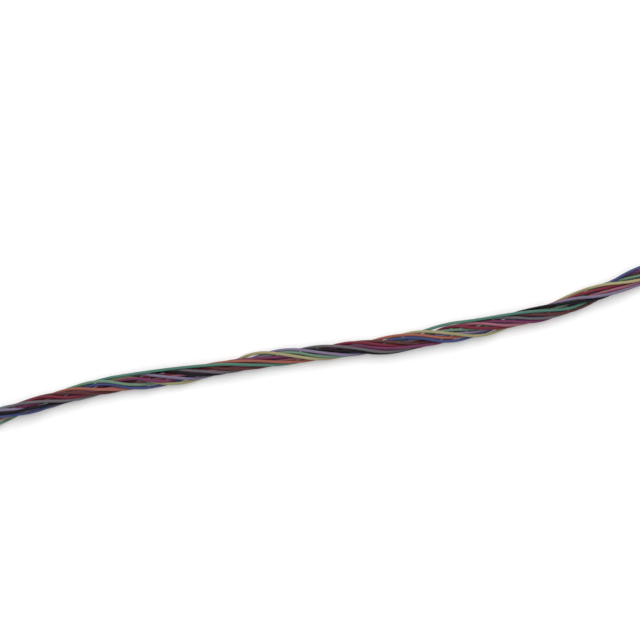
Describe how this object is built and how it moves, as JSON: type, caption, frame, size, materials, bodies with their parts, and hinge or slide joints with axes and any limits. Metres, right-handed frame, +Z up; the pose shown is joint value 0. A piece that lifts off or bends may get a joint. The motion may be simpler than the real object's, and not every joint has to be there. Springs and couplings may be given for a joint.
{
  "type": "twisted wire bundle",
  "caption": "Long slender bundle of differently coloured insulated hook-up wires, loosely twisted together by hand and lying in gentle waves, with plain cut ends.",
  "frame": {"origin": "middle of the bundle's box on the surface it lies on", "axes": "+X along the bundle, +Z up from the surface it lies on, +Y across it"},
  "size_m": [0.1344, 0.0069, 0.0034],
  "materials": {
    "black_insulation": "satin",
    "brown_insulation": "satin",
    "red_insulation": "satin",
    "orange_insulation": "satin",
    "yellow_insulation": "satin",
    "green_insulation": "satin",
    "turquoise_insulation": "satin",
    "blue_insulation": "satin",
    "violet_insulation": "satin",
    "grey_insulation": "satin",
    "magenta_insulation": "satin",
    "pink_insulation": "satin"
  },
  "bodies": {
    "root": {"wire_black": "black_insulation", "wire_brown": "brown_insulation", "wire_red": "red_insulation", "wire_orange": "orange_insulation", "wire_yellow": "yellow_insulation", "wire_green": "green_insulation", "wire_turquoise": "turquoise_insulation", "wire_blue": "blue_insulation", "wire_violet": "violet_insulation", "wire_grey": "grey_insulation", "wire_magenta": "magenta_insulation", "wire_pink": "pink_insulation"}
  },
  "joints": []
}
